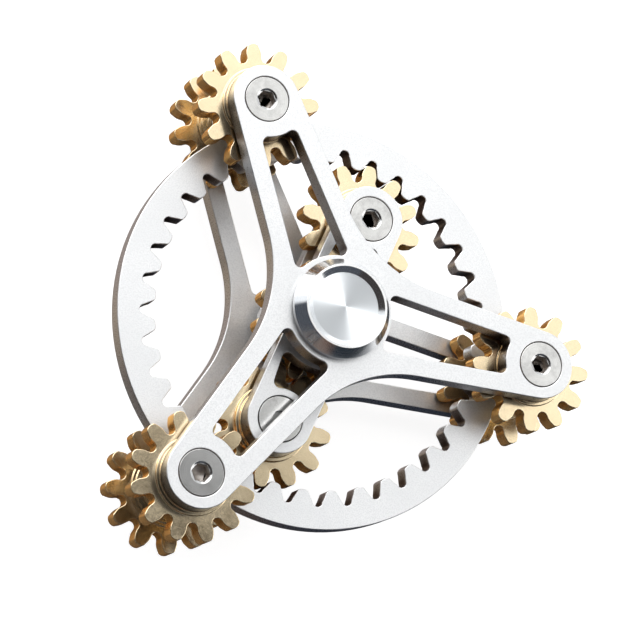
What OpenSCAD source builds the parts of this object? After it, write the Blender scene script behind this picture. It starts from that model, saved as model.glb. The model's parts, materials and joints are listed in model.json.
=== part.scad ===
// Planetary gear set in finger-spinner form.
// A sun gear sits on a centre axle between two knobs. A two-arm carrier rolls two planets
// round the sun inside an internal ring. A three-arm outer frame turns on the same axle,
// guides the rim of the ring in three grooved pillars and carries a pair of free gears on each.
// The axle lies along Z, the ring's middle plane is Z = 0 and one frame arm points along +X.

/* [Gears] */
// Tooth size: pitch diameter divided by tooth count
gear_module = 1.25; // [1.2:0.01:1.3]
// Teeth of the sun, the planets and the tip gears
gear_teeth = 12; // [12:1:12]
// Teeth inside the ring
ring_teeth = 36; // [36:1:36]
// Pressure angle of the teeth
pressure_angle = 25; // [24:0.5:26]
// Tooth width of the brass gears on the pitch circle
gear_tooth_w = 1.85; // [1.6:0.01:1.88]
// Tooth width of the ring on the pitch circle
ring_tooth_w = 1.9; // [1.7:0.01:1.93]
// Thickness of the toothed part of every brass gear
gear_t = 2.5; // [2:0.1:2.5]
// Thickness of the ring
ring_t = 2.5; // [2:0.1:2.5]
// Outer radius of the ring
ring_outer_r = 26.85; // [26.5:0.05:26.85]

/* [Outer frame] */
// Radius from the axle to the tip screws
arm_r = 28.5; // [28.5:0.1:30]
// Radius of the rounded arm tips
arm_tip_r = 4.5; // [4.2:0.1:4.8]
// Angle by which each arm edge opens towards the hub
arm_taper = 4.5; // [3:0.5:5]
// Smallest radius of the frame between two arms
frame_hub_r = 9.35; // [9:0.05:9.8]
// Width of the two rails beside each window
rail_w = 2.42; // [2:0.01:2.6]
// Thickness of the outer plates
plate_t = 2.5; // [2.2:0.1:2.8]
// Distance between the outer faces of the two outer plates
frame_h = 18.35; // [18.35:0.05:19]

/* [Carrier] */
// Radius of the rounded carrier tips
carrier_tip_r = 4.4; // [4.2:0.1:4.6]
// Angle by which each carrier edge opens towards the hub
carrier_taper = 6; // [5.5:0.25:6.25]
// Width of the two rails beside each carrier window
carrier_rail_w = 2.05; // [1.7:0.05:2.2]
// Thickness of the carrier plates
carrier_t = 2.5; // [2.2:0.1:2.5]
// Direction of the first carrier arm, a whole number of mesh steps
carrier_angle = 75; // [15:30:345]

/* [Knobs and axle] */
// Height of a knob above the outer plate
knob_h = 2.6; // [1.8:0.1:3]
// Radius of a knob's rim
knob_r = 5.55; // [5.35:0.05:5.8]
// Radius of the foot a knob's cone rises from
knob_foot_r = 6.45; // [6.2:0.05:6.7]
// Depth of the recess in a knob's face
knob_recess = 0.5; // [0.25:0.05:0.8]
// Radius of the centre axle
axle_r = 3; // [3:0.1:3]

/* [Screws] */
// Radius of the flush screw heads
head_r = 2.9; // [2.6:0.01:2.9]
// Thickness of the flush screw heads
head_t = 1.3; // [1.1:0.1:1.5]
// Radius of the screw shanks
shank_r = 1.5; // [1.4:0.05:1.5]
// Width across the flats of the hex sockets
hex_w = 2.1; // [2:0.1:2.5]

/* [Hidden] */

frame_arms = 3;
carrier_arms = 2;
gear_pitch_r = gear_module * gear_teeth / 2;
ring_pitch_r = gear_module * ring_teeth / 2;
planet_r = 2 * gear_pitch_r;

// Tooth heights above and below the pitch circle, as shares of the module
gear_addendum = 0.64;
gear_dedendum = 1.36;
ring_addendum = 0.56;
ring_dedendum = 1.12;
gear_tip_r = gear_pitch_r + gear_addendum * gear_module;
gear_root_r = gear_pitch_r - gear_dedendum * gear_module;
ring_tip_r = ring_pitch_r - ring_addendum * gear_module;
ring_root_r = ring_pitch_r + ring_dedendum * gear_module;

// Depth over which the tips and roots of the teeth are rounded
gear_tip_round = 0.5;
gear_root_round = 0.25;
ring_tip_round = 0.35;
ring_root_round = 0.6;
flank_steps = 3;
tip_steps = 8;
root_steps = 6;

// Heights of the front half, from the middle plane
plate_out = frame_h / 2;
plate_in = plate_out - plate_t;
tip_boss_h = 0.5;
tip_boss_step = 0.25;
planet_boss_h = 0.975;
planet_boss_step = 0.55;
run_gap = 0.05;
tip_gear_in = plate_in - tip_boss_h - gear_t;
carrier_in = gear_t / 2 + planet_boss_h;
carrier_out = carrier_in + carrier_t;
boss_r = 4.95;
boss_top_r = 4.5;

// Arcs that shape the ends of the windows
window_tip_r = 5;
window_hub_r = 7.15;
carrier_window_tip_r = 4;
carrier_window_hub_r = 7;
carrier_hub_r = 6.3;
corner_r = 0.8;

// Ball bearings in the four plates
bearing_r = 5;
bearing_t = 2.5;
race_in_r = 3.75;
race_out_r = 4.35;
ball_path_r = (race_in_r + race_out_r) / 2;
ball_r = 0.58;
ball_gap = 0.03;
ball_count = 10;
spacer_r = 3.7;

// Screws, bores, pillars and sleeves
screw_reach = 3.5;
tip_screw_len = plate_t + screw_reach;
planet_screw_len = carrier_t + screw_reach;
sleeve_floor = 0.6;
socket_depth = 1.4;
socket_cone_h = 0.5;
socket_chamfer_h = 0.15;
socket_chamfer_w = 0.2;
head_seat_r = 3;
sleeve_bore_r = 1.05;
journal_r = 2.25;
journal_gap = 0.03;
groove_r = arm_r - ring_outer_r - run_gap;
groove_half = ring_t / 2 + 0.1;
pillar_flange_r = 3.2;
pillar_neck_r = 2.6;
pillar_flange_t = 0.6;
pillar_shoulder_t = 0.4;
stud_r = 2;
stud_len = 5;
knob_lift = 0.15;
knob_foot_t = 0.72;
knob_edge = 0.12;
knob_rim_t = 0.2;
knob_recess_r = 5.15;
knob_face_r = 4.4;

// Resting turns of the freely turning tip gears
front_tip_turns = [8.3, 15.8, 23.8];
rear_tip_turns = [23.7, 23.8, 11.8];

silver = [0.86, 0.87, 0.88];
steel = [0.62, 0.63, 0.64];
brass = [0.84, 0.69, 0.38];
eps = 0.01;

function dir(a) = [cos(a), sin(a)];
function arc(c, r, a0, a1, n) = [for (i = [0:n]) c + r * dir(a0 + (a1 - a0) * i / n)];
function inv(a) = tan(a) * 180 / PI - a;
function flank_turn(r, pitch_r) = inv(pressure_angle)
    - inv(acos(min(1, pitch_r * cos(pressure_angle) / r)));

// Half the angle of an outer tooth at radius r
function tooth_half(r, pitch_r, w) = w / 2 / pitch_r * 180 / PI + flank_turn(r, pitch_r);

// Half the angle of an inner tooth at radius r
function inner_half(r, pitch_r, w) = w / 2 / pitch_r * 180 / PI - flank_turn(r, pitch_r);

// Half oval that joins the points at turns -half and +half on radius r, peaking at radius peak
function cap(turn, r, half, peak, n) = [
    for (i = [0:n])
        let (t = 180 * i / n, x = r * cos(half) + (peak - r * cos(half)) * sin(t))
        let (y = -r * sin(half) * cos(t))
        [x * cos(turn) - y * sin(turn), x * sin(turn) + y * cos(turn)]
];

function outer_tooth(turn, step) =
    let (n = flank_steps, base_r = gear_pitch_r * cos(pressure_angle))
    let (cap_r = gear_tip_r - gear_tip_round)
    let (root_half = step / 2 - tooth_half(base_r, gear_pitch_r, gear_tooth_w))
    concat(
        [for (i = [0:n - 1]) let (r = base_r + (cap_r - base_r) * i / n)
            r * dir(turn - tooth_half(r, gear_pitch_r, gear_tooth_w))],
        cap(turn, cap_r, tooth_half(cap_r, gear_pitch_r, gear_tooth_w), gear_tip_r, tip_steps),
        [for (i = [n - 1:-1:0]) let (r = base_r + (cap_r - base_r) * i / n)
            r * dir(turn + tooth_half(r, gear_pitch_r, gear_tooth_w))],
        cap(turn + step / 2, base_r - gear_root_round, root_half, gear_root_r, root_steps)
    );

function inner_tooth(turn, step) =
    let (n = flank_steps, low_r = ring_tip_r + ring_tip_round)
    let (high_r = ring_root_r - ring_root_round)
    concat(
        cap(turn + step / 2, low_r, inner_half(low_r, ring_pitch_r, ring_tooth_w),
            ring_tip_r, root_steps),
        [for (i = [1:n]) let (r = low_r + (high_r - low_r) * i / n)
            r * dir(turn + step / 2 + inner_half(r, ring_pitch_r, ring_tooth_w))],
        cap(turn + step, high_r, step / 2 - inner_half(high_r, ring_pitch_r, ring_tooth_w),
            ring_root_r, root_steps),
        [for (i = [n:-1:1]) let (r = low_r + (high_r - low_r) * i / n)
            r * dir(turn + 3 * step / 2 - inner_half(r, ring_pitch_r, ring_tooth_w))]
    );

module gear_outline() {
    step = 360 / gear_teeth;
    polygon([for (i = [0:gear_teeth - 1]) each outer_tooth(i * step, step)]);
}

module ring_opening() {
    step = 360 / ring_teeth;
    polygon([for (i = [0:ring_teeth - 1]) each inner_tooth(i * step, step)]);
}

// Plate outline: round tips, tapered arms and one concave arc between neighbouring arms
module arm_outline(arms, reach, tip_r, taper, hub_r) {
    half = 180 / arms;
    arc_at = (hub_r - tip_r - reach * sin(taper)) / (1 - sin(half + taper));
    polygon([
        for (k = [0:arms - 1])
            let (a = 2 * half * k)
            each concat(
                arc(reach * dir(a), tip_r, a - 90 + taper, a + 90 - taper, 28),
                arc(arc_at * dir(a + half), arc_at - hub_r,
                    a + 270 - taper, a + 90 + 2 * half + taper, 28))
    ]);
}

// Window between two rails, its ends concentric with the tip and with the hub
module window_outline(reach, tip_r, taper, rail, tip_end_r, hub_end_r) {
    edge = reach * sin(taper) + tip_r - rail - corner_r;
    hub_s = sqrt(pow(hub_end_r + corner_r, 2) - edge * edge);
    tip_q = edge - reach * sin(taper);
    tip_s = reach * cos(taper) - sqrt(pow(tip_end_r + corner_r, 2) - tip_q * tip_q);
    hub_c = [edge * sin(taper) + hub_s * cos(taper), edge * cos(taper) - hub_s * sin(taper)];
    tip_c = [edge * sin(taper) + tip_s * cos(taper), edge * cos(taper) - tip_s * sin(taper)];
    hub_a = atan2(hub_c[1], hub_c[0]);
    tip_a = atan2(tip_c[1], reach - tip_c[0]);
    upper = concat(
        arc([0, 0], hub_end_r, 0, hub_a, 8),
        arc(hub_c, corner_r, hub_a + 180, 90 - taper, 10),
        arc(tip_c, corner_r, 90 - taper, -tip_a, 10),
        arc([reach, 0], tip_end_r, 180 - tip_a, 180, 8));
    last = len(upper) - 1;
    lower = [for (i = [last - 1:-1:1]) [upper[i][0], -upper[i][1]]];
    polygon(concat(upper, lower));
}

// Solid of revolution between two heights
module disc(r, z0, z1) {
    translate([0, 0, z0]) cylinder(r = r, h = z1 - z0, $fn = 96);
}

module pipe(r, bore, z0, z1) {
    difference() {
        disc(r, z0, z1);
        disc(bore, z0 - 1, z1 + 1);
    }
}

// Turns a piece of the front half into its twin on the rear half
module rear() {
    mirror([0, 0, 1]) children();
}

module at_arm(k) {
    rotate([0, 0, 120 * k]) translate([arm_r, 0, 0]) children();
}

module at_planet(k) {
    rotate([0, 0, carrier_angle + 180 * k]) translate([planet_r, 0, 0]) children();
}

module knob() {
    top = plate_out + knob_h;
    low = plate_out + knob_lift;
    color(silver) union() {
        rotate_extrude($fn = 128) polygon([
            [0, low], [knob_foot_r - knob_edge, low], [knob_foot_r, low + knob_edge],
            [knob_foot_r, low + knob_foot_t], [knob_r, top - knob_rim_t],
            [knob_r - knob_edge, top], [knob_recess_r, top],
            [knob_face_r, top - knob_recess], [0, top - knob_recess],
        ]);
        disc(spacer_r, plate_out, low + eps);
        disc(stud_r, plate_out - stud_len, low);
    }
}

module centre_axle() {
    color(steel) difference() {
        disc(axle_r, -plate_out, plate_out);
        disc(stud_r, plate_out - stud_len, plate_out + 1);
        disc(stud_r, -plate_out - 1, stud_len - plate_out);
    }
}

module gear_body(tooth_turn, z0, z1) {
    translate([0, 0, z0]) rotate([0, 0, tooth_turn])
        linear_extrude(height = z1 - z0) gear_outline();
}

module sun_gear() {
    color(brass) difference() {
        gear_body(carrier_angle, -gear_t / 2, gear_t / 2);
        disc(axle_r, -gear_t, gear_t);
    }
}

module frame_spacer() {
    color(steel) pipe(spacer_r, axle_r, carrier_out, plate_in);
}

module sun_spacer() {
    color(steel) pipe(spacer_r, axle_r, gear_t / 2, carrier_in);
}

module bearing_inner(z0) {
    color(steel) difference() {
        pipe(race_in_r, axle_r, z0, z0 + bearing_t);
        ball_groove(z0);
    }
}

module bearing_outer(z0) {
    color(steel) difference() {
        pipe(bearing_r, race_out_r, z0, z0 + bearing_t);
        ball_groove(z0);
    }
}

module ball_groove(z0) {
    translate([0, 0, z0 + bearing_t / 2]) rotate_extrude($fn = 96)
        translate([ball_path_r, 0]) circle(r = ball_r + ball_gap, $fn = 40);
}

module bearing_balls(z0) {
    color(steel) for (i = [0:ball_count - 1])
        rotate([0, 0, 360 * i / ball_count])
            translate([ball_path_r, 0, z0 + bearing_t / 2]) sphere(r = ball_r, $fn = 72);
}

module outer_plate() {
    color(silver) difference() {
        translate([0, 0, plate_in]) linear_extrude(height = plate_t)
            arm_outline(frame_arms, arm_r, arm_tip_r, arm_taper, frame_hub_r);
        for (k = [0:frame_arms - 1]) {
            rotate([0, 0, 120 * k]) translate([0, 0, plate_in - 1])
                linear_extrude(height = plate_t + 2)
                    window_outline(arm_r, arm_tip_r, arm_taper, rail_w,
                        window_tip_r, window_hub_r);
            at_arm(k) disc(head_seat_r, plate_out - head_t, plate_out + 1);
            at_arm(k) disc(shank_r, plate_in - 1, plate_out + 1);
        }
        disc(bearing_r, plate_in - 1, plate_out + 1);
    }
}

module screw(z_top, length) {
    hex_r = hex_w / sqrt(3);
    color(steel) difference() {
        union() {
            disc(head_r, z_top - head_t, z_top);
            disc(shank_r, z_top - length, z_top - head_t + eps);
        }
        translate([0, 0, z_top - socket_depth])
            cylinder(r = hex_r, h = 2 * socket_depth, $fn = 6);
        translate([0, 0, z_top - socket_depth - socket_cone_h])
            cylinder(r1 = 0, r2 = hex_w / 2, h = socket_cone_h + eps, $fn = 48);
        translate([0, 0, z_top - socket_chamfer_h])
            cylinder(r1 = hex_r - 2 * eps, r2 = hex_r + socket_chamfer_w,
                h = socket_chamfer_h + eps, $fn = 64);
    }
}

module tip_screws() {
    for (k = [0:frame_arms - 1]) at_arm(k) screw(plate_out, tip_screw_len);
}

// Grooved pillar: journals for two gears, a groove for the rim of the ring, tapped ends
module ring_pillar(k) {
    shoulder = tip_gear_in - tip_boss_h - run_gap;
    tap_end = plate_out - tip_screw_len;
    half = [
        [groove_r, groove_half], [pillar_flange_r, groove_half],
        [pillar_flange_r, groove_half + pillar_flange_t],
        [pillar_neck_r, groove_half + pillar_flange_t],
        [pillar_neck_r, shoulder - pillar_shoulder_t],
        [pillar_flange_r, shoulder - pillar_shoulder_t],
        [pillar_flange_r, shoulder], [journal_r, shoulder], [journal_r, plate_in],
    ];
    last = len(half) - 1;
    color(steel) at_arm(k) difference() {
        rotate_extrude($fn = 96) polygon(concat(
            [[0, -plate_in]],
            [for (i = [last:-1:0]) [half[i][0], -half[i][1]]],
            half,
            [[0, plate_in]]));
        disc(shank_r, tap_end, plate_in + 1);
        disc(shank_r, -plate_in - 1, -tap_end);
    }
}

module carrier_outline() {
    ends = 90 - carrier_taper;
    polygon([
        for (k = [0:carrier_arms - 1])
            each arc(planet_r * dir(180 * k), carrier_tip_r, 180 * k - ends, 180 * k + ends, 28)
    ]);
}

module carrier_plate(sleeve_arm) {
    color(silver) difference() {
        union() {
            translate([0, 0, carrier_in]) rotate([0, 0, carrier_angle])
                linear_extrude(height = carrier_t) carrier_outline();
            disc(carrier_hub_r, carrier_in, carrier_out);
        }
        for (k = [0:carrier_arms - 1]) {
            rotate([0, 0, carrier_angle + 180 * k]) translate([0, 0, carrier_in - 1])
                linear_extrude(height = carrier_t + 2)
                    window_outline(planet_r, carrier_tip_r, carrier_taper, carrier_rail_w,
                        carrier_window_tip_r, carrier_window_hub_r);
            at_planet(k) disc(head_seat_r, carrier_out - head_t, carrier_out + 1);
        }
        at_planet(sleeve_arm) disc(journal_r, carrier_in - 1, carrier_out + 1);
        at_planet(1 - sleeve_arm) disc(shank_r, carrier_in - 1, carrier_out + 1);
        disc(bearing_r, carrier_in - 1, carrier_out + 1);
    }
}

module planet_screws() {
    at_planet(0) screw(carrier_out, planet_screw_len);
    rear() at_planet(1) screw(carrier_out, planet_screw_len);
}

// Headed sleeve that clamps both carrier plates and is the journal of a planet
module planet_sleeve(k) {
    color(steel) at_planet(k) difference() {
        union() {
            disc(head_r, carrier_out - head_t, carrier_out);
            disc(journal_r, -carrier_in, carrier_out - head_t + eps);
        }
        disc(sleeve_bore_r, carrier_out - sleeve_floor, carrier_out + 1);
        disc(shank_r, -carrier_in - 1, planet_screw_len - carrier_out);
    }
}

// Gear with two stepped bosses on each face
module stepped_gear(z_mid, tooth_turn, step_h, boss_h) {
    color(brass) difference() {
        union() {
            gear_body(tooth_turn, z_mid - gear_t / 2, z_mid + gear_t / 2);
            disc(boss_r, z_mid - gear_t / 2 - step_h, z_mid + gear_t / 2 + step_h);
            disc(boss_top_r, z_mid - gear_t / 2 - boss_h, z_mid + gear_t / 2 + boss_h);
        }
        disc(journal_r + journal_gap, z_mid - 2 * gear_t, z_mid + 2 * gear_t);
    }
}

module planet_gear(k) {
    turn = -carrier_angle - 180 * k;
    at_planet(k)
        stepped_gear(0, turn, planet_boss_step, planet_boss_h - run_gap);
}

module tip_gear(k, turn) {
    at_arm(k) stepped_gear(tip_gear_in + gear_t / 2, turn - 120 * k,
        tip_boss_step, tip_boss_h - run_gap);
}

module ring_gear() {
    color(silver) translate([0, 0, -ring_t / 2]) difference() {
        cylinder(r = ring_outer_r, h = ring_t, $fn = 256);
        translate([0, 0, -1]) linear_extrude(height = ring_t + 2) ring_opening();
    }
}

knob();  // front_knob
rear() knob();  // rear_knob
centre_axle();
sun_gear();
frame_spacer();  // front_frame_spacer
rear() frame_spacer();  // rear_frame_spacer
sun_spacer();  // front_sun_spacer
rear() sun_spacer();  // rear_sun_spacer
bearing_inner(plate_in);  // front_frame_bearing_inner
rear() bearing_inner(plate_in);  // rear_frame_bearing_inner
bearing_inner(carrier_in);  // front_carrier_bearing_inner
rear() bearing_inner(carrier_in);  // rear_carrier_bearing_inner
bearing_balls(plate_in);  // front_frame_bearing_balls
rear() bearing_balls(plate_in);  // rear_frame_bearing_balls
bearing_balls(carrier_in);  // front_carrier_bearing_balls
rear() bearing_balls(carrier_in);  // rear_carrier_bearing_balls
outer_plate();  // front_plate
rear() outer_plate();  // rear_plate
bearing_outer(plate_in);  // front_frame_bearing_outer
rear() bearing_outer(plate_in);  // rear_frame_bearing_outer
tip_screws();  // front_tip_screws
rear() tip_screws();  // rear_tip_screws
ring_pillar(0);  // ring_pillar_a
ring_pillar(1);  // ring_pillar_b
ring_pillar(2);  // ring_pillar_c
carrier_plate(1);  // front_carrier_plate
rear() carrier_plate(0);  // rear_carrier_plate
bearing_outer(carrier_in);  // front_carrier_bearing_outer
rear() bearing_outer(carrier_in);  // rear_carrier_bearing_outer
planet_screws();
rear() planet_sleeve(0);  // planet_sleeve_a
planet_sleeve(1);  // planet_sleeve_b
planet_gear(0);  // planet_gear_a
planet_gear(1);  // planet_gear_b
ring_gear();
tip_gear(0, front_tip_turns[0]);  // front_tip_gear_a
tip_gear(1, front_tip_turns[1]);  // front_tip_gear_b
tip_gear(2, front_tip_turns[2]);  // front_tip_gear_c
rear() tip_gear(0, rear_tip_turns[0]);  // rear_tip_gear_a
rear() tip_gear(1, rear_tip_turns[1]);  // rear_tip_gear_b
rear() tip_gear(2, rear_tip_turns[2]);  // rear_tip_gear_c
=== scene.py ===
"""Looks of the planetary gear set: materials, broken edges, floor, light and camera."""
import json
from math import cos, radians, sin

import bpy
from mathutils import Matrix, Vector


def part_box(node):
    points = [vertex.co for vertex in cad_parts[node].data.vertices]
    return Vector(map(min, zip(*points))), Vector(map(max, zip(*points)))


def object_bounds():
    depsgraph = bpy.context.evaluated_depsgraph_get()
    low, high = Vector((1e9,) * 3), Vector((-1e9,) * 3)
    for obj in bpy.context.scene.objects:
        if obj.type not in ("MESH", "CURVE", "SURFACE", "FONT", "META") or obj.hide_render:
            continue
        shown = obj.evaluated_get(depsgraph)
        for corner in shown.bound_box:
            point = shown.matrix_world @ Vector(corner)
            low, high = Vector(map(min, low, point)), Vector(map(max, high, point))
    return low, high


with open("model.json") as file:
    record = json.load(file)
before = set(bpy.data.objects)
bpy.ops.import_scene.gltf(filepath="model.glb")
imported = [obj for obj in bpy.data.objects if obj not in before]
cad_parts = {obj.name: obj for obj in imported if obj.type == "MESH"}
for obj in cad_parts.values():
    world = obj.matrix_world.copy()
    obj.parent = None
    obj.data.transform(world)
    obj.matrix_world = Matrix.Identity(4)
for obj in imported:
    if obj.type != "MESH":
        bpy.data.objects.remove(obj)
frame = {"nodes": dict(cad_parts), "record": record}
cad_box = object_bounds()
nodes = frame["nodes"]
MM = 0.001

# Camera: the point it looks at, its direction from there, distance, roll and lens
AIM = Vector((0.8, 0.9, 0.0)) * MM
CAMERA_AZIMUTH = radians(-138.12)
CAMERA_ELEVATION = radians(65.05)
CAMERA_DISTANCE = 359.9 * MM
CAMERA_ROLL = radians(-60.3)
LENS = 156.4
SENSOR_WIDTH = 36.0

# Level part of the direction a level face mirrors towards the camera
MIRROR = Vector((cos(CAMERA_AZIMUTH), sin(CAMERA_AZIMUTH), 0.0)) * -cos(CAMERA_ELEVATION)

# Width of the broken edge on each group of nodes
EDGE_WIDTHS = {
    "bead_blasted_aluminium": 0.13 * MM,
    "brass": 0.09 * MM,
    "turned_steel": 0.05 * MM,
}
# Flats that turn less than this are one face, and edges that turn more than this are broken
FLAT_ANGLE = radians(0.5)
EDGE_ANGLE = radians(35)

# Colours of each metal: two shades it drifts between, then what its edges, recesses and walls turn to.
# The recess and shaded colours are painted shade, and the brass walls, glints and edges are painted
# reflection and highlight. A glint is the tint of a wall seen at a grazing angle.
WHITE = (1.0, 1.0, 1.0)
ALUMINIUM = {
    "dull": (0.79, 0.795, 0.8),
    "bright": (0.84, 0.843, 0.846),
    "pit": (0.72, 0.724, 0.73),
    # painted shade: the colour the plates darken to deep in holes and gaps
    "recess": (0.2, 0.19, 0.18),
    # painted shade: upright walls close to other parts, and the darker tint of their reflections
    "shaded_wall": (0.17, 0.142, 0.128),
    "shaded_glint": (0.28, 0.24, 0.22),
    "edge": (0.95, 0.95, 0.95),
}
KNOB = {
    "dull": (0.84, 0.855, 0.87),
    "bright": (0.9, 0.905, 0.91),
    "disc": (0.87, 0.9, 0.92),
    "edge": (0.96, 0.96, 0.96),
}
STEEL = {
    "dull": (0.56, 0.56, 0.555),
    "bright": (0.67, 0.67, 0.66),
    "cloud": (0.51, 0.505, 0.5),
    # painted shade deep in the hex sockets
    "socket": (0.42, 0.36, 0.31),
    "edge": (0.85, 0.85, 0.85),
}
BRASS = {
    "dull": (0.82, 0.665, 0.44),
    "bright": (0.88, 0.735, 0.5),
    # painted reflection: the deeper orange that light bounced between the teeth gives upright walls
    "wall": (0.92, 0.57, 0.24),
    # painted shade deep between the teeth and in gaps
    "recess": (0.16, 0.09, 0.03),
    # painted shade on upright walls close to other parts
    "shaded_wall": (0.62, 0.35, 0.12),
    # painted reflection: orange tint of the walls' grazing reflections
    "wall_glint": (0.75, 0.5, 0.25),
    # painted shade on the reflections of those walls
    "shaded_glint": (0.6, 0.34, 0.14),
    # painted highlight along the edges of the teeth and faces
    "edge": (1.0, 0.86, 0.55),
}
BEARING = {
    "dull": (0.6, 0.61, 0.62),
    "bright": (0.72, 0.72, 0.73),
    # painted shade deep in the bearing's gaps
    "recess": (0.08, 0.07, 0.065),
}

# Radius within which the knob's sunk face is duller, and half the width over which that changes
DISC_RADIUS = 4.42 * MM
DISC_BLEND = 0.04 * MM

# Colours of the light and of the dark ground that the metal mirrors, and the bearings in degrees that
# they lie towards; the stronger light lies towards LIGHTS_BEARING and the weaker one opposite
SKY = {
    "weak_light": (2.05, 2.05, 2.04),
    "strong_light": (3.05, 3.05, 3.04),
    "between": (1.05, 1.08, 1.11),
    "dark_centre": (0.07, 0.072, 0.078),
    "pale_centre": (1.4, 1.4, 1.38),
    "dim_blue": (0.075, 0.083, 0.1),
    "dim_brown": (0.18, 0.115, 0.09),
    "round_camera": (0.05, 0.045, 0.045),
}
GROUND = {
    "far": (0.018, 0.024, 0.032),
    "near": (0.07, 0.052, 0.044),
    "warm": (0.4, 0.32, 0.24),
    "tan": (0.36, 0.3, 0.27),
    "blue": (0.022, 0.028, 0.042),
    "underfoot": (0.9, 0.87, 0.84),
}
LIGHTS_BEARING = 141
CENTRE_BEARING = 60
DIM_BEARING = 262
DIM_BROWN_BEARING = 266
WARM_BEARING = 140
TAN_BEARING = 110
BLUE_BEARING = 340
HORIZON_BEARING = 335
HORIZON_TILT = -0.25
# Middle of the dark patch of sky round the camera
CAMERA_PATCH = (-0.478, -0.43, 0.766)

FLOOR_HALF = 1.5
FLOOR_GREY = 0.55
FLOOR_ROUGHNESS = 0.9
FLOOR_GLOW = 0.83


def link(obj):
    bpy.context.scene.collection.objects.link(obj)
    return obj


def axis_of(node):
    low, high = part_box(node)
    return ((low.x + high.x) / 2, (low.y + high.y) / 2, 0.0)


# ------------------------------------------------------------ node helpers


def add(tree, kind, sockets=None, **settings):
    node = tree.nodes.new("ShaderNode" + kind)
    for key, value in settings.items():
        setattr(node, key, value)
    for key, value in (sockets or {}).items():
        if isinstance(value, bpy.types.NodeSocket):
            tree.links.new(value, node.inputs[key])
        else:
            node.inputs[key].default_value = value
    return node


def math(tree, operation, *values):
    sockets = dict(enumerate(values))
    return add(tree, "Math", sockets, operation=operation).outputs[0]


def vector_math(tree, operation, *values):
    sockets = dict(enumerate(values))
    return add(tree, "VectorMath", sockets, operation=operation)


def span(tree, value, low, high, start=0.0, end=1.0):
    """Smooth step: value runs from low to high while the result runs from start to end."""
    sockets = {"Value": value, "From Min": low, "From Max": high, "To Min": start, "To Max": end}
    return add(tree, "MapRange", sockets, interpolation_type="SMOOTHSTEP").outputs[0]


def mix(tree, factor, first, second):
    node = add(tree, "Mix", data_type="RGBA")
    for socket, value in ((node.inputs[0], factor), (node.inputs[6], first), (node.inputs[7], second)):
        if isinstance(value, bpy.types.NodeSocket):
            tree.links.new(value, socket)
        else:
            socket.default_value = (*value, 1.0) if isinstance(value, tuple) else value
    return node.outputs[2]


def noise(tree, point, scale, detail):
    """Cloudy noise from 0 to 1; scale is its features per metre."""
    sockets = {"Vector": point, "Scale": scale, "Detail": detail, "Roughness": 0.55}
    return add(tree, "TexNoise", sockets).outputs["Fac"]


def bump(tree, height, strength, distance):
    sockets = {"Height": height, "Strength": strength, "Distance": distance}
    return add(tree, "Bump", sockets).outputs["Normal"]


def edge_mask(tree, radius):
    """1 along convex edges, 0 on flats."""
    rounded = add(tree, "Bevel", {"Radius": radius}, samples=4).outputs["Normal"]
    true = add(tree, "NewGeometry").outputs["Normal"]
    same = vector_math(tree, "DOT_PRODUCT", rounded, true).outputs["Value"]
    return span(tree, same, 0.995, 0.85)


def upright_mask(tree):
    """1 on upright walls, 0 on faces that look up or down."""
    normal = add(tree, "NewGeometry").outputs["True Normal"]
    tilt = math(tree, "ABSOLUTE", add(tree, "SeparateXYZ", {0: normal}).outputs["Z"])
    return span(tree, tilt, 0.6, 0.2)


def recess_mask(tree, distance, high=0.55, low=0.15):
    """1 deep in holes and gaps, 0 in the open; it starts where a share high of the sky is open."""
    open_sky = add(tree, "AmbientOcclusion", {"Distance": distance}, samples=6).outputs["AO"]
    return span(tree, open_sky, high, low)


def new_metal(name):
    material = bpy.data.materials.new(name)
    material.use_nodes = True
    tree = material.node_tree
    shader = tree.nodes["Principled BSDF"]
    shader.inputs["Metallic"].default_value = 1.0
    point = add(tree, "TexCoord").outputs["Object"]
    return material, tree, shader, point


def wire(tree, shader, **sockets):
    for key, value in sockets.items():
        tree.links.new(value, shader.inputs[key.replace("_", " ")])


# ------------------------------------------------------------ materials


def blasted_aluminium():
    material, tree, shader, point = new_metal("blasted_aluminium")
    grain = noise(tree, point, scale=6500, detail=2)
    cloud = noise(tree, point, scale=110, detail=3)
    edge = edge_mask(tree, 0.2 * MM)
    grey = mix(tree, span(tree, cloud, 0.3, 0.7), ALUMINIUM["dull"], ALUMINIUM["bright"])
    grey = mix(tree, span(tree, grain, 0.6, 0.35), grey, ALUMINIUM["pit"])
    # Painted shade: darker deep in holes and gaps, found by ambient occlusion
    recess = math(tree, "MULTIPLY", recess_mask(tree, 1.5 * MM), 0.6)
    grey = mix(tree, recess, grey, ALUMINIUM["recess"])
    # Painted shade: walls close to other parts turn darker and browner, and so does their reflection tint
    shade = math(tree, "MULTIPLY", upright_mask(tree), recess_mask(tree, 3.5 * MM, high=1.0, low=0.6))
    grey = mix(tree, shade, grey, ALUMINIUM["shaded_wall"])
    grey = mix(tree, edge, grey, ALUMINIUM["edge"])
    polish = math(tree, "MULTIPLY", math(tree, "MAXIMUM", edge, upright_mask(tree)), 0.14)
    rough = math(tree, "SUBTRACT", span(tree, grain, 0.3, 0.7, start=0.4, end=0.5), polish)
    # Painted shade on the grazing reflections of those walls
    tint = mix(tree, shade, WHITE, ALUMINIUM["shaded_glint"])
    wire(tree, shader, Base_Color=grey, Specular_Tint=tint, Roughness=rough,
         Normal=bump(tree, grain, strength=0.25, distance=0.02 * MM))
    return material


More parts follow.
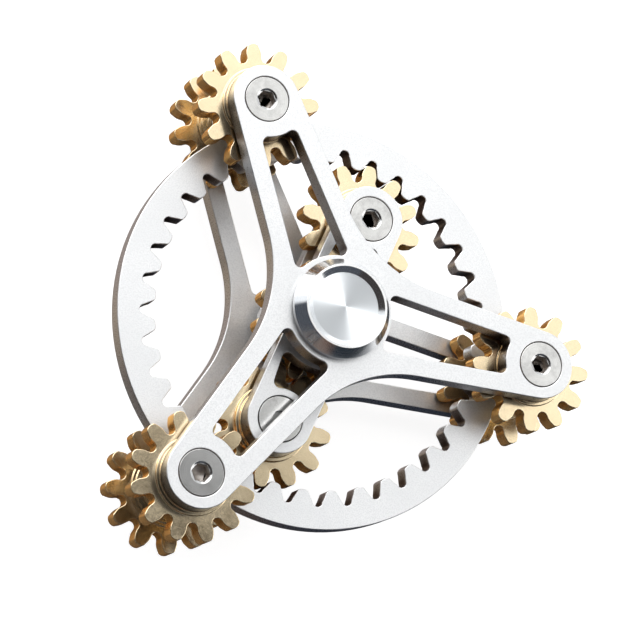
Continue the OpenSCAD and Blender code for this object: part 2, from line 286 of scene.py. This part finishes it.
def nearest_axis(tree, point, centres):
    """Offset from the nearest of several upright axes, and its length."""
    flat = vector_math(tree, "MULTIPLY", point, (1.0, 1.0, 0.0)).outputs[0]
    best = best_length = None
    for centre in centres:
        offset = vector_math(tree, "SUBTRACT", flat, centre).outputs[0]
        length = vector_math(tree, "LENGTH", offset).outputs["Value"]
        if best is None:
            best, best_length = offset, length
            continue
        nearer = math(tree, "LESS_THAN", length, best_length)
        choice = add(tree, "Mix", data_type="VECTOR")
        tree.links.new(nearer, choice.inputs[0])
        tree.links.new(best, choice.inputs[4])
        tree.links.new(offset, choice.inputs[5])
        best, best_length = choice.outputs[1], math(tree, "MINIMUM", length, best_length)
    return best, best_length


def across_marks(tree, offset):
    """Direction along the surface at right angles to the turning marks round an axis."""
    along = vector_math(tree, "CROSS_PRODUCT", (0.0, 0.0, 1.0), offset).outputs["Vector"]
    world = add(tree, "VectorTransform", {"Vector": along}, vector_type="VECTOR",
                convert_from="OBJECT", convert_to="WORLD").outputs[0]
    normal = add(tree, "NewGeometry").outputs["Normal"]
    crossed = vector_math(tree, "CROSS_PRODUCT", world, normal).outputs[0]
    return vector_math(tree, "NORMALIZE", crossed).outputs[0]


def turning_marks(tree, point, radius, pitch):
    """Fine uneven grooves running round the axis, on flats and on walls."""
    height = add(tree, "SeparateXYZ", {0: point}).outputs["Z"]
    line = add(tree, "CombineXYZ", {"X": math(tree, "ADD", radius, height)}).outputs[0]
    return noise(tree, line, scale=1.0 / pitch, detail=4)


def turned_aluminium():
    material, tree, shader, point = new_metal("turned_aluminium")
    offset, radius = nearest_axis(tree, point, [(0.0, 0.0, 0.0)])
    marks = turning_marks(tree, point, radius, pitch=0.06 * MM)
    edge = edge_mask(tree, 0.12 * MM)
    disc = span(tree, radius, DISC_RADIUS + DISC_BLEND, DISC_RADIUS - DISC_BLEND)
    grey = mix(tree, span(tree, marks, 0.3, 0.7), KNOB["dull"], KNOB["bright"])
    grey = mix(tree, disc, grey, KNOB["disc"])
    grey = mix(tree, edge, grey, KNOB["edge"])
    shader.inputs["Anisotropic"].default_value = 0.95
    rough = math(tree, "ADD", span(tree, marks, 0.3, 0.7, start=0.12, end=0.16),
                 math(tree, "MULTIPLY", disc, 0.25))
    wire(tree, shader, Base_Color=grey, Roughness=rough,
         Tangent=across_marks(tree, offset), Normal=bump(tree, marks, strength=0.05, distance=0.005 * MM))
    return material


def turned_steel(name, centres, socketed=True):
    """Screws, pillars, spacers, sleeves and axle; socketed ones are dull and dark in their recesses."""
    material, tree, shader, point = new_metal(name)
    offset, radius = nearest_axis(tree, point, centres)
    marks = turning_marks(tree, point, radius, pitch=0.08 * MM)
    cloud = noise(tree, point, scale=700, detail=3)
    edge = edge_mask(tree, 0.08 * MM)
    grey = mix(tree, span(tree, marks, 0.3, 0.7), STEEL["dull"], STEEL["bright"])
    grey = mix(tree, span(tree, cloud, 0.4, 0.75), grey, STEEL["cloud"])
    grey = mix(tree, edge, grey, STEEL["edge"])
    rough = span(tree, cloud, 0.3, 0.7, start=0.15, end=0.21)
    if socketed:
        # Painted shade: darker and browner deep in the sockets; they are also rougher and less metallic
        # there
        recess = recess_mask(tree, 1.6 * MM, high=0.8, low=0.5)
        grey = mix(tree, recess, grey, STEEL["socket"])
        rough = math(tree, "ADD", rough, math(tree, "MULTIPLY", recess, 0.3))
        wire(tree, shader, Metallic=math(tree, "SUBTRACT", 1.0, math(tree, "MULTIPLY", recess, 0.8)))
    shader.inputs["Anisotropic"].default_value = 0.4
    wire(tree, shader, Base_Color=grey, Roughness=rough,
         Tangent=across_marks(tree, offset), Normal=bump(tree, marks, strength=0.2, distance=0.01 * MM))
    return material


def brass(name, centre):
    material, tree, shader, point = new_metal(name)
    offset, radius = nearest_axis(tree, point, [centre])
    marks = turning_marks(tree, point, radius, pitch=0.1 * MM)
    stain = noise(tree, point, scale=260, detail=4)
    fine = noise(tree, point, scale=3800, detail=3)
    edge = edge_mask(tree, 0.12 * MM)
    upright = upright_mask(tree)
    gold = mix(tree, span(tree, stain, 0.3, 0.7), BRASS["dull"], BRASS["bright"])
    # Painted reflection: upright walls are a deeper orange, as from light bounced between the teeth
    gold = mix(tree, upright, gold, BRASS["wall"])
    # Painted shade: darker deep between teeth and in gaps, found by ambient occlusion
    gold = mix(tree, recess_mask(tree, 5 * MM, high=0.6, low=0.2), gold, BRASS["recess"])
    # Painted shade: upright walls close to other parts turn darker, and so does their reflection tint
    shade = math(tree, "MULTIPLY", upright, recess_mask(tree, 2 * MM, high=0.85, low=0.45))
    gold = mix(tree, shade, gold, BRASS["shaded_wall"])
    # Painted highlight: a pale line along every edge
    gold = mix(tree, edge, gold, BRASS["edge"])
    # Painted reflection: the grazing reflections of upright walls are tinted orange
    tint = mix(tree, upright, WHITE, BRASS["wall_glint"])
    tint = mix(tree, shade, tint, BRASS["shaded_glint"])
    rough = math(tree, "ADD", span(tree, fine, 0.3, 0.7, start=0.1, end=0.16),
                 span(tree, stain, 0.35, 0.7, start=0.0, end=0.05))
    metallic = math(tree, "SUBTRACT", 1.0, math(tree, "MULTIPLY", upright, 0.2))
    shader.inputs["Anisotropic"].default_value = 0.3
    wire(tree, shader, Base_Color=gold, Metallic=metallic, Specular_Tint=tint, Roughness=rough,
         Tangent=across_marks(tree, offset),
         Normal=bump(tree, math(tree, "ADD", marks, fine), strength=0.1, distance=0.008 * MM))
    return material


def bearing_steel():
    material, tree, shader, point = new_metal("bearing_steel")
    _, radius = nearest_axis(tree, point, [(0.0, 0.0, 0.0)])
    marks = turning_marks(tree, point, radius, pitch=0.05 * MM)
    grey = mix(tree, span(tree, marks, 0.3, 0.7), BEARING["dull"], BEARING["bright"])
    # Painted shade: darker deep in gaps, found by ambient occlusion
    grey = mix(tree, recess_mask(tree, 0.8 * MM), grey, BEARING["recess"])
    wire(tree, shader, Base_Color=grey, Roughness=span(tree, marks, 0.3, 0.7, start=0.16, end=0.24),
         Normal=bump(tree, marks, strength=0.1, distance=0.005 * MM))
    return material


def steel_group(name):
    """Which axes a steel node was turned about."""
    if "tip" in name or "pillar" in name:
        return "arm"
    if "sleeve" in name:
        return "sleeve"
    return "planet" if "planet" in name else "axle"


def break_edges(obj, width):
    """Small rounded edges between evenly shaded flats, as modifiers on the node."""
    weld = obj.modifiers.new("weld", "WELD")
    weld.merge_threshold = 0.001 * MM
    merge = obj.modifiers.new("merge_flats", "DECIMATE")
    merge.decimate_type = "DISSOLVE"
    merge.angle_limit = FLAT_ANGLE
    bevel = obj.modifiers.new("edges", "BEVEL")
    bevel.width = width
    bevel.segments = 2
    bevel.limit_method = "ANGLE"
    bevel.angle_limit = EDGE_ANGLE
    bevel.use_clamp_overlap = False
    bevel.harden_normals = True
    normals = obj.modifiers.new("flat_walls", "WEIGHTED_NORMAL")
    normals.keep_sharp = False
    normals.weight = 100


def dress_frame():
    """Give every node its material, and those with an edge width their broken edges."""
    arm_axes = [axis_of("ring_pillar_" + arm) for arm in "abc"]
    planet_axes = [axis_of("planet_gear_" + arm) for arm in "ab"]
    shared = {
        "bead_blasted_aluminium": blasted_aluminium(),
        "turned_aluminium": turned_aluminium(),
        "bearing_steel": bearing_steel(),
    }
    steels = {
        "arm": turned_steel("turned_steel_arms", arm_axes),
        "planet": turned_steel("turned_steel_planets", planet_axes),
        "sleeve": turned_steel("turned_steel_sleeves", planet_axes, socketed=False),
        "axle": turned_steel("turned_steel_axle", [(0.0, 0.0, 0.0)]),
    }
    for row in frame["record"]["subparts"]:
        name, slot = row["node"], row["material_slot"]
        if slot == "brass":
            material = brass("brass_" + name, axis_of(name))
        elif slot == "turned_steel":
            material = steels[steel_group(name)]
        else:
            material = shared[slot]
        mesh = nodes[name].data
        mesh.materials.clear()
        mesh.materials.append(material)
        if slot in EDGE_WIDTHS:
            break_edges(nodes[name], EDGE_WIDTHS[slot])


# ------------------------------------------------------------ floor, light, camera


def make_floor():
    """A pale, faintly glowing floor under the object, hidden from its reflections."""
    low = cad_box[0][2]
    half = FLOOR_HALF
    mesh = bpy.data.meshes.new("floor")
    corners = [(-half, -half, low), (half, -half, low), (half, half, low), (-half, half, low)]
    mesh.from_pydata(corners, [], [(0, 1, 2, 3)])
    floor = link(bpy.data.objects.new("floor", mesh))
    material = bpy.data.materials.new("floor")
    material.use_nodes = True
    shader = material.node_tree.nodes["Principled BSDF"]
    shader.inputs["Base Color"].default_value = (FLOOR_GREY, FLOOR_GREY, FLOOR_GREY, 1.0)
    shader.inputs["Roughness"].default_value = FLOOR_ROUGHNESS
    shader.inputs["Emission Color"].default_value = (*WHITE, 1.0)
    shader.inputs["Emission Strength"].default_value = FLOOR_GLOW
    mesh.materials.append(material)
    floor.visible_glossy = False


def toward(tree, direction, bearing):
    """How far a direction leans towards a compass bearing in degrees."""
    level = (cos(radians(bearing)), sin(radians(bearing)), 0.0)
    return vector_math(tree, "DOT_PRODUCT", direction, level).outputs["Value"]


def make_sky(tree, direction):
    """Two large soft lights on the far side, dimmer between them, to one side and round the camera."""
    # Round the mirror direction of a level face, the lights fill two opposite wedges
    flat = vector_math(tree, "MULTIPLY", direction, (1.0, 1.0, 0.0)).outputs[0]
    away = vector_math(tree, "SUBTRACT", flat, MIRROR).outputs[0]
    reach = vector_math(tree, "LENGTH", away).outputs["Value"]
    lean = toward(tree, away, LIGHTS_BEARING)
    bright = mix(tree, span(tree, lean, -0.1, 0.1), SKY["weak_light"], SKY["strong_light"])
    wedge = math(tree, "ABSOLUTE", math(tree, "DIVIDE", lean, reach))
    lights = mix(tree, span(tree, wedge, 0.76, 0.86), SKY["between"], bright)

    across = toward(tree, direction, CENTRE_BEARING)
    centre = mix(tree, span(tree, across, 0.31, 0.42), SKY["dark_centre"], SKY["pale_centre"])
    sky = mix(tree, span(tree, reach, 0.18, 0.3), centre, lights)

    brown = span(tree, toward(tree, direction, DIM_BROWN_BEARING), 0.93, 0.98)
    dim = mix(tree, brown, SKY["dim_blue"], SKY["dim_brown"])
    sky = mix(tree, span(tree, toward(tree, direction, DIM_BEARING), -0.02, 0.12), sky, dim)
    patch = vector_math(tree, "DOT_PRODUCT", direction, CAMERA_PATCH).outputs["Value"]
    return mix(tree, span(tree, patch, 0.76, 0.82), sky, SKY["round_camera"])


def make_ground(tree, direction, height):
    """Dark ground that upright walls mirror: warm, tan and blue towards different bearings."""
    warm = span(tree, toward(tree, direction, WARM_BEARING), 0.26, 0.33)
    earth = mix(tree, warm, GROUND["near"], GROUND["warm"])
    earth = mix(tree, span(tree, toward(tree, direction, TAN_BEARING), 0.26, 0.36), earth, GROUND["tan"])
    earth = mix(tree, span(tree, toward(tree, direction, BLUE_BEARING), 0.33, 0.39), earth, GROUND["blue"])
    ground = mix(tree, span(tree, height, -0.5, -0.75), GROUND["far"], earth)
    return mix(tree, span(tree, height, -0.965, -0.99), ground, GROUND["underfoot"])


def make_world():
    """Soft studio light over dark ground, with a tilted horizon between them."""
    world = bpy.data.worlds.new("studio")
    bpy.context.scene.world = world
    world.use_nodes = True
    tree = world.node_tree
    direction = add(tree, "TexCoord").outputs["Generated"]
    height = add(tree, "SeparateXYZ", {0: direction}).outputs["Z"]
    sky = make_sky(tree, direction)
    ground = make_ground(tree, direction, height)
    level = math(tree, "MULTIPLY_ADD", toward(tree, direction, HORIZON_BEARING), HORIZON_TILT, height)
    colour = mix(tree, span(tree, level, -0.32, -0.2), ground, sky)
    background = tree.nodes["Background"]
    tree.links.new(colour, background.inputs["Color"])
    background.inputs["Strength"].default_value = 1.0


def make_camera():
    camera = link(bpy.data.objects.new("camera", bpy.data.cameras.new("camera")))
    camera.data.lens = LENS
    camera.data.sensor_width = SENSOR_WIDTH
    camera.data.clip_start = 10 * MM
    away = Vector((
        cos(CAMERA_ELEVATION) * cos(CAMERA_AZIMUTH),
        cos(CAMERA_ELEVATION) * sin(CAMERA_AZIMUTH),
        sin(CAMERA_ELEVATION),
    ))
    side = Vector((0, 0, 1)).cross(away).normalized()
    above = away.cross(side)
    look = Matrix((side, above, away)).transposed()
    turned = look @ Matrix.Rotation(-CAMERA_ROLL, 3, "Z")
    camera.matrix_world = Matrix.Translation(AIM + away * CAMERA_DISTANCE) @ turned.to_4x4()
    bpy.context.scene.camera = camera


dress_frame()
make_floor()
make_world()
make_camera()
bpy.context.scene.view_settings.view_transform = "Standard"
